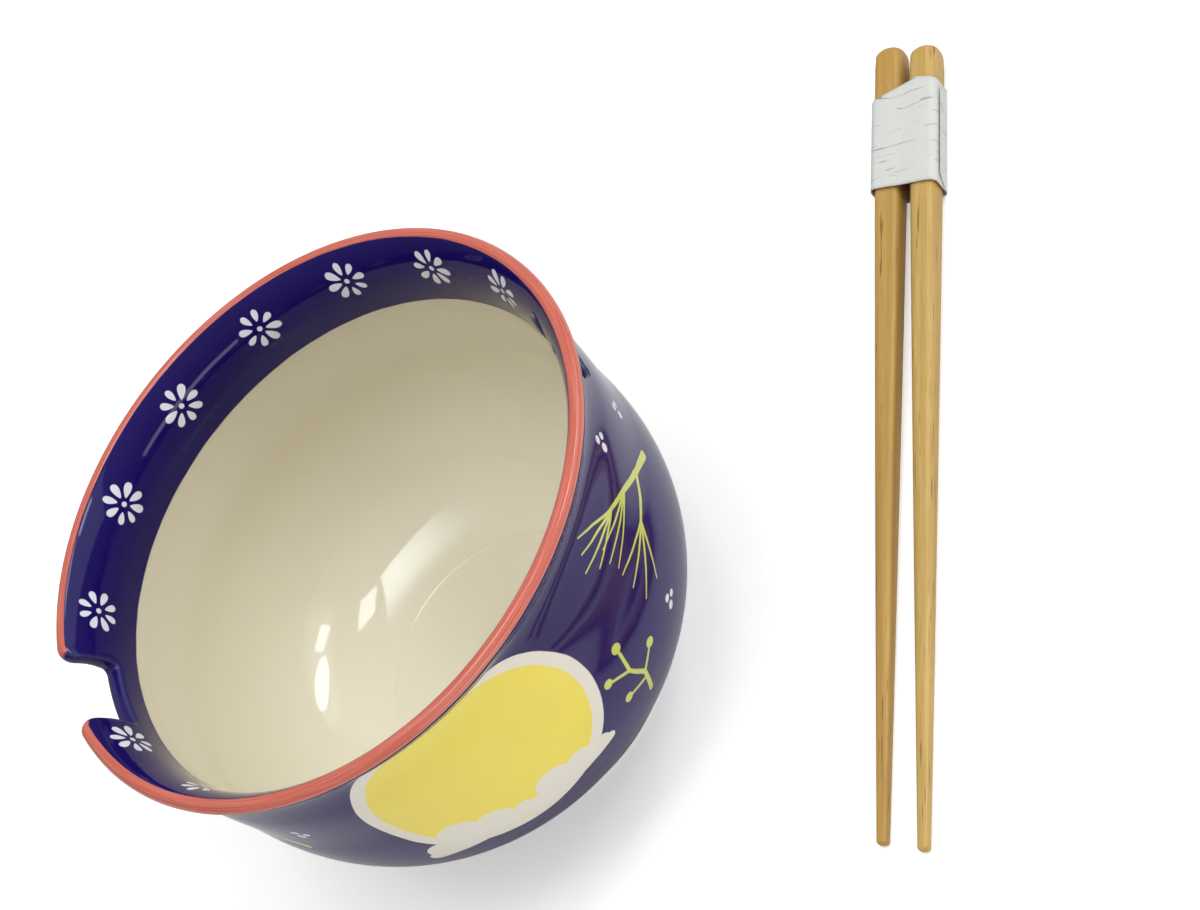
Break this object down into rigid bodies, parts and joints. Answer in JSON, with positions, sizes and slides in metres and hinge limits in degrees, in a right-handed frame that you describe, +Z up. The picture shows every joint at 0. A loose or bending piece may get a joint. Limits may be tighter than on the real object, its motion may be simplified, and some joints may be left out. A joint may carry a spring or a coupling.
{
  "type": "soup bowl with chopsticks",
  "caption": "Deep glazed soup bowl on a foot ring, with a rolled lip, a notch and holes in its neck that hold chopsticks, and a bamboo pair in a paper band beside it.",
  "frame": {"origin": "on the table under the set, in the middle of the box round the bowl and the chopsticks", "axes": "+Z up; +X from the bowl's notch towards its two holes, which is the side where the chopsticks lie; +Y completes the right hand"},
  "size_m": [0.2706, 0.2194, 0.103],
  "materials": {
    "glaze": "gloss navy glaze, cream inside, coral lip",
    "bamboo": "smooth sanded bamboo with long fibre streaks",
    "washi_paper": "matt white handmade paper with grey fibres"
  },
  "bodies": {
    "bowl": {"bowl": "glaze"},
    "paper_band": {"paper_band": "washi_paper"},
    "left_chopstick": {"left_chopstick": "bamboo"},
    "right_chopstick": {"right_chopstick": "bamboo"}
  },
  "joints": [
    {"name": "pair_lift", "type": "slide", "parent": "bowl", "child": "paper_band", "axis": [0, 0, 1], "range_m": [0, 0.12]},
    {"name": "left_draw", "type": "slide", "parent": "paper_band", "child": "left_chopstick", "axis": [0.4893, 0.872, 0.0162], "range_m": [0, 0.225]},
    {"name": "right_draw", "type": "slide", "parent": "paper_band", "child": "right_chopstick", "axis": [0.4893, 0.872, 0.0162], "range_m": [0, 0.228]}
  ]
}
